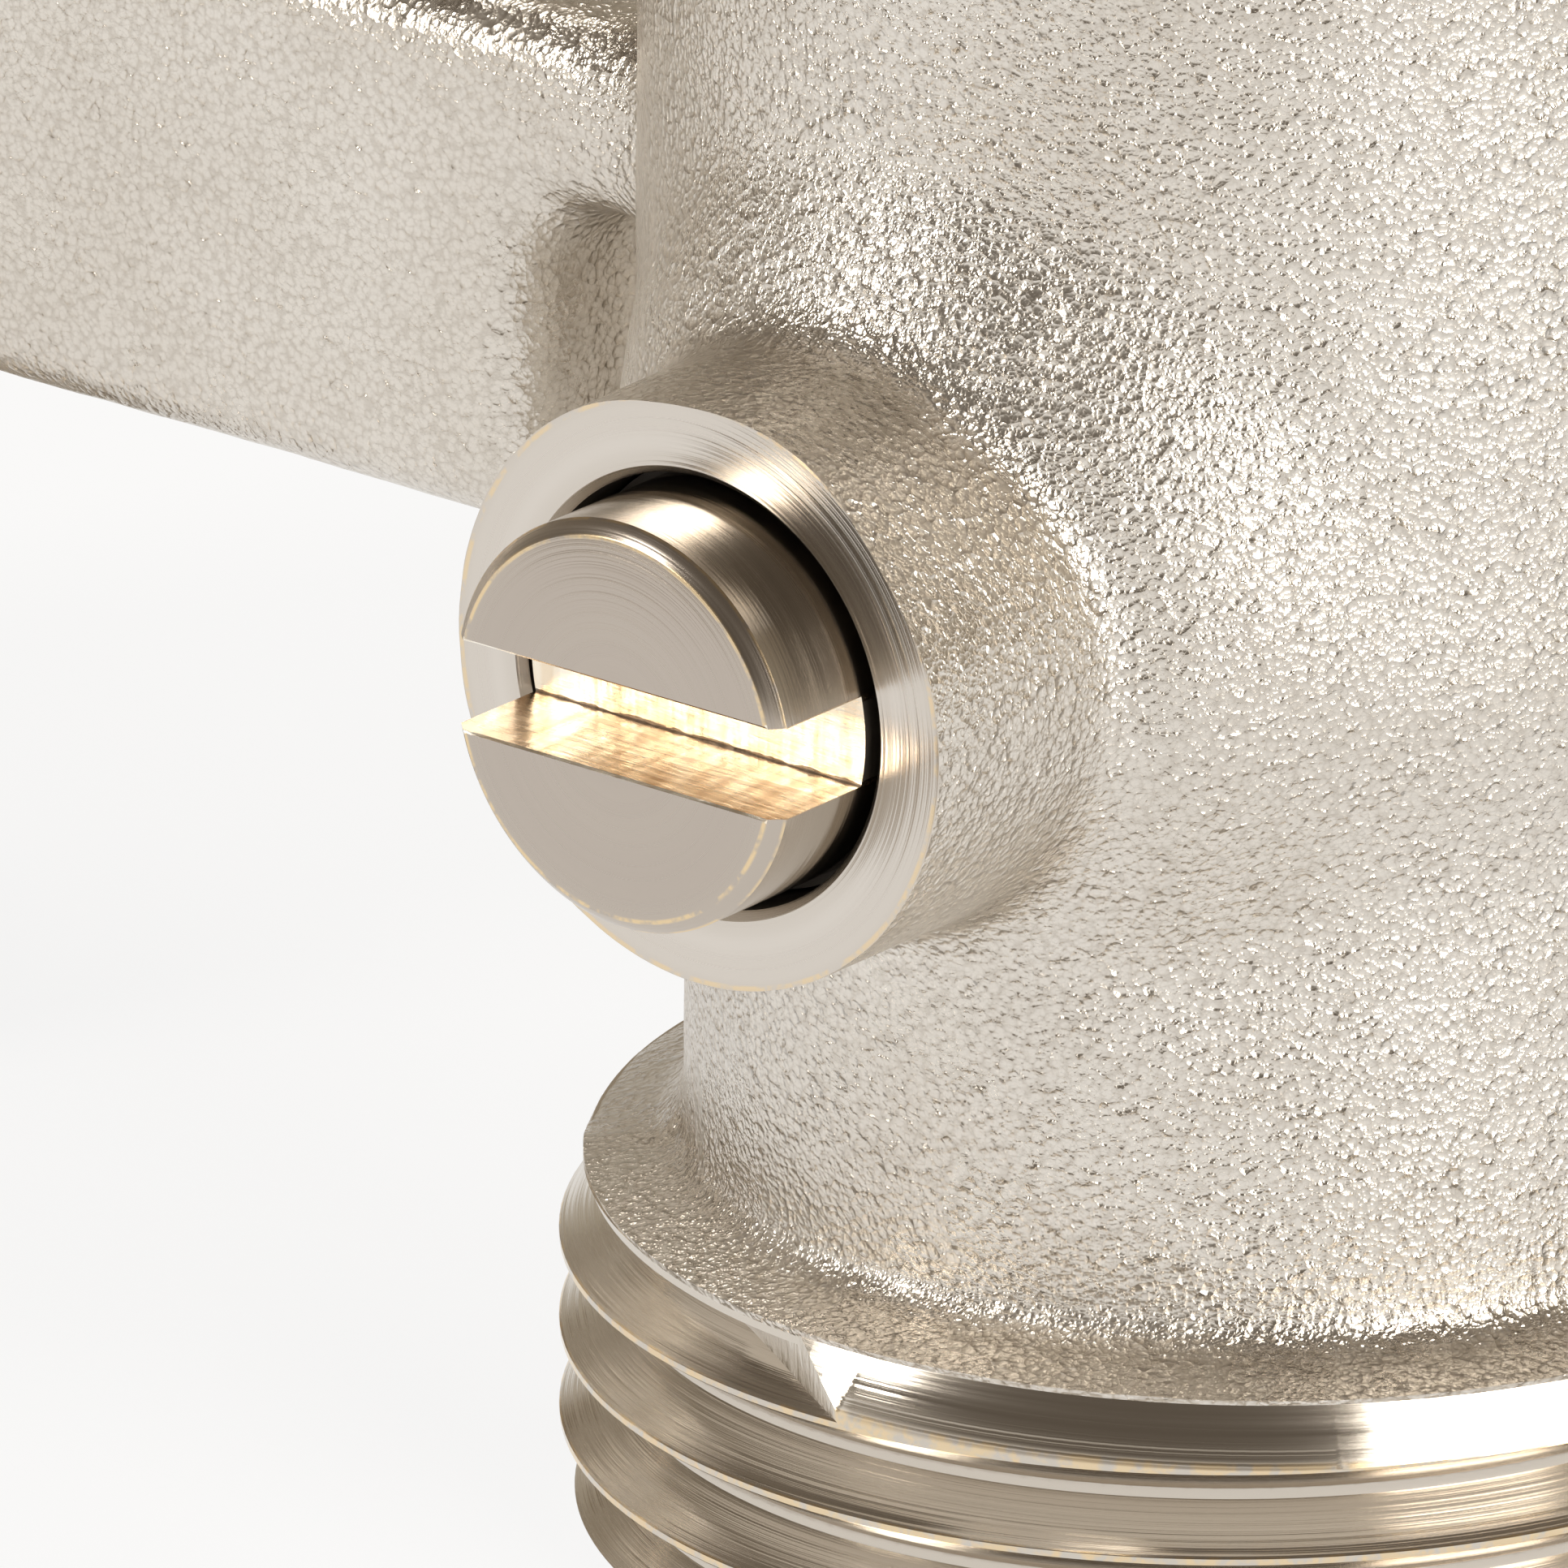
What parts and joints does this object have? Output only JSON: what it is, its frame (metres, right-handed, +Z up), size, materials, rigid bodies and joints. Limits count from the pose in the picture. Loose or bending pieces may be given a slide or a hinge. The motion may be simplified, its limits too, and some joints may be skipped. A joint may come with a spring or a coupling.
{
  "type": "radiator bottom connection valve",
  "caption": "Twin-leg shut-off valve for a radiator fed from below: slotted ball spindles in front bosses, threaded lower ports, union nuts on top.",
  "frame": {"origin": "midpoint between the axes of the two lower ports, in the plane of their mouths", "axes": "+Z up along the legs, +X from the left leg to the right leg, -Y out of the spindle bosses"},
  "size_m": [0.0846, 0.034, 0.0543],
  "materials": {
    "body_nickel": "blasted nickel plate over forged brass",
    "spindle_nickel": "turned, nickel plated, raw brass in the slot",
    "ball_chrome": "polished chrome plate over brass",
    "seat_ptfe": "smooth white",
    "seal_rubber": "matte black",
    "tail_nickel": "turned, nickel plated",
    "nut_nickel": "turned and milled, nickel plated",
    "gasket_rubber": "matte dark grey"
  },
  "bodies": {
    "valve": {"body": "body_nickel", "left_upper_seat": "seat_ptfe", "left_lower_seat": "seat_ptfe", "left_tailpiece": "tail_nickel", "left_tail_oring": "seal_rubber", "left_gasket": "gasket_rubber", "right_upper_seat": "seat_ptfe", "right_lower_seat": "seat_ptfe", "right_tailpiece": "tail_nickel", "right_tail_oring": "seal_rubber", "right_gasket": "gasket_rubber"},
    "left_shutoff": {"left_stem": "spindle_nickel", "left_ball": "ball_chrome", "left_inner_stem_oring": "seal_rubber", "left_outer_stem_oring": "seal_rubber", "left_thrust_washer": "seat_ptfe"},
    "right_shutoff": {"right_stem": "spindle_nickel", "right_ball": "ball_chrome", "right_inner_stem_oring": "seal_rubber", "right_outer_stem_oring": "seal_rubber", "right_thrust_washer": "seat_ptfe"},
    "left_nut": {"left_union_nut": "nut_nickel"},
    "right_nut": {"right_union_nut": "nut_nickel"}
  },
  "joints": [
    {"name": "left_spindle_turn", "type": "hinge", "parent": "valve", "child": "left_shutoff", "pos_m": [-0.025, 0, 0.02137], "axis": [0, 1, 0], "range_deg": [0, 90]},
    {"name": "left_nut_spin", "type": "hinge", "parent": "valve", "child": "left_nut", "pos_m": [-0.025, 0, 0.04585], "axis": [0, 0, 1], "continuous": true},
    {"name": "right_spindle_turn", "type": "hinge", "parent": "valve", "child": "right_shutoff", "pos_m": [0.025, 0, 0.02137], "axis": [0, 1, 0], "range_deg": [0, 90]},
    {"name": "right_nut_spin", "type": "hinge", "parent": "valve", "child": "right_nut", "pos_m": [0.025, 0, 0.04585], "axis": [0, 0, 1], "continuous": true}
  ]
}
